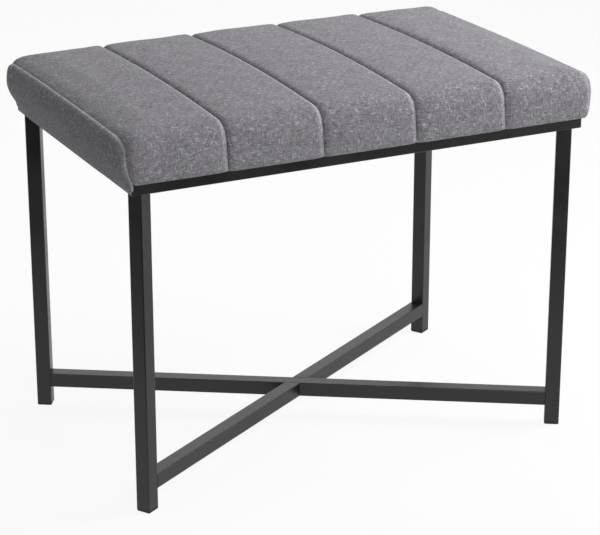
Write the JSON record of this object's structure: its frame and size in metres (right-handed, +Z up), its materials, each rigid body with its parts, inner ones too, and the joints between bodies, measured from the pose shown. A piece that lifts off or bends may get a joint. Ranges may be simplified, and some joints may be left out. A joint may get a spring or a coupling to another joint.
{
  "type": "upholstered bench",
  "caption": "Small bench with a channelled, crowned fabric seat pad on a slim black square-tube frame with crossed stretchers near the floor.",
  "frame": {"origin": "on the floor, under the middle of the seat", "axes": "+X along the seat, +Y from front to back, +Z up"},
  "size_m": [0.6446, 0.4128, 0.4864],
  "materials": {
    "frame_steel": "satin black powder coat",
    "foot_plastic": "moulded",
    "zinc_steel": "zinc plated",
    "plywood": "raw plywood",
    "dust_cloth": "non-woven cloth",
    "seat_fabric": "grey melange woven upholstery fabric",
    "seat_foam": "open-cell foam"
  },
  "bodies": {
    "root": {"leg_front_left": "frame_steel", "corner_plate_front_left": "frame_steel", "foot_plug_front_left": "foot_plastic", "leg_front_right": "frame_steel", "corner_plate_front_right": "frame_steel", "foot_plug_front_right": "foot_plastic", "leg_back_left": "frame_steel", "corner_plate_back_left": "frame_steel", "foot_plug_back_left": "foot_plastic", "leg_back_right": "frame_steel", "corner_plate_back_right": "frame_steel", "foot_plug_back_right": "foot_plastic", "stretcher_through": "frame_steel", "stretcher_half_front": "frame_steel", "stretcher_half_back": "frame_steel", "rail_front": "frame_steel", "rail_back": "frame_steel", "rail_left": "frame_steel", "rail_right": "frame_steel", "seat_bolts": "zinc_steel", "seat_washers": "zinc_steel", "threaded_inserts": "zinc_steel", "seat_board": "plywood", "dust_cover": "dust_cloth", "cover_panel_1": "seat_fabric", "cover_panel_2": "seat_fabric", "cover_panel_3": "seat_fabric", "cover_panel_4": "seat_fabric", "cover_panel_5": "seat_fabric", "end_panel_left": "seat_fabric", "end_panel_right": "seat_fabric", "foam_pad": "seat_foam"}
  },
  "joints": []
}
